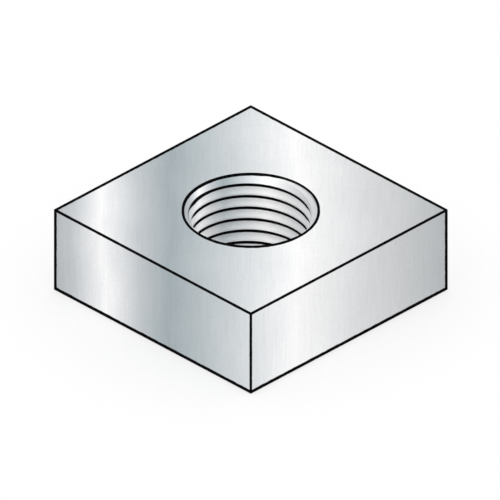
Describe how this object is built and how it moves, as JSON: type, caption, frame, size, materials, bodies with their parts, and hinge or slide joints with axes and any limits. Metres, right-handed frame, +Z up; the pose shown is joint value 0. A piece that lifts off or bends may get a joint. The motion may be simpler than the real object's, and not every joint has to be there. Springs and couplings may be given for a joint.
{
  "type": "square nut",
  "caption": "Flat square nut with a fine metric thread through its middle, square corners and plain faces on both sides.",
  "frame": {"origin": "middle of the bottom bearing face, on the axis of the thread", "axes": "+Z up along the axis of the thread, +X and +Y square to the flats"},
  "size_m": [0.0206, 0.0206, 0.007],
  "materials": {
    "zinc_plate": "bright zinc plate with a pale blue cast, satin, darker where the edges and thread roots show bare steel"
  },
  "bodies": {
    "root": {"square_nut": "zinc_plate"}
  },
  "joints": []
}
